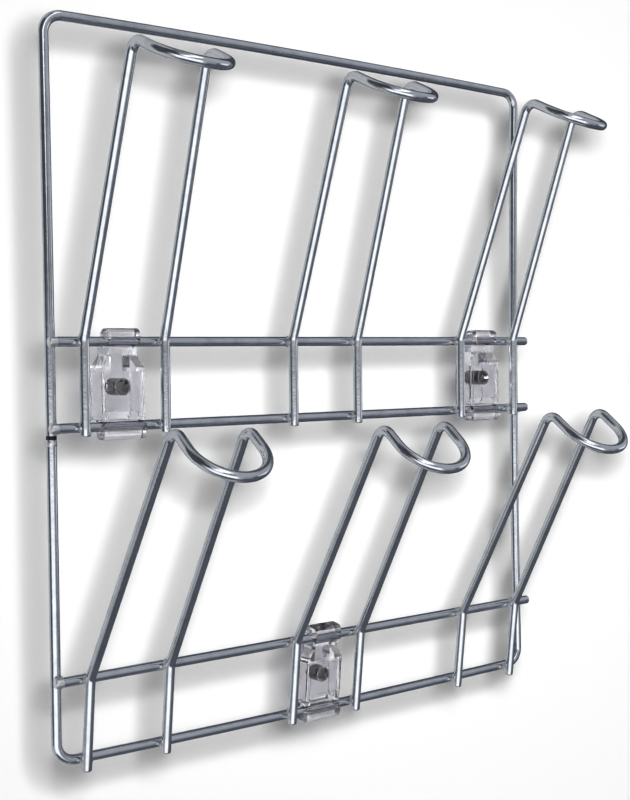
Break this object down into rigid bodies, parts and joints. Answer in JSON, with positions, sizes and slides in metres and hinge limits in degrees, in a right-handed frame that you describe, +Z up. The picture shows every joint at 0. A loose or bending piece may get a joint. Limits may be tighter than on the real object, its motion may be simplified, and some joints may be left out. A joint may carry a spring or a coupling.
{
  "type": "wall hook rack",
  "caption": "Chrome wire wall rack: a rectangular frame with cross bars, two rows of looped hooks leaning out, and clear screw-on wall clips.",
  "frame": {"origin": "on the wall plane, halfway between the two upper screw holes", "axes": "+Z up, +X to the right seen from the room, +Y into the wall; the hooks lean out towards -Y"},
  "size_m": [0.325, 0.1191, 0.3714],
  "materials": {
    "wire": "bright plated",
    "clip": "clear, polished"
  },
  "bodies": {
    "root": {"frame_loop": "wire", "crossbar_upper": "wire", "crossbar_middle": "wire", "crossbar_lower": "wire", "hook_upper_left": "wire", "hook_upper_centre": "wire", "hook_upper_right": "wire", "hook_lower_left": "wire", "hook_lower_centre": "wire", "hook_lower_right": "wire", "wall_clip_left": "clip", "wall_clip_right": "clip", "wall_clip_lower": "clip"}
  },
  "joints": []
}
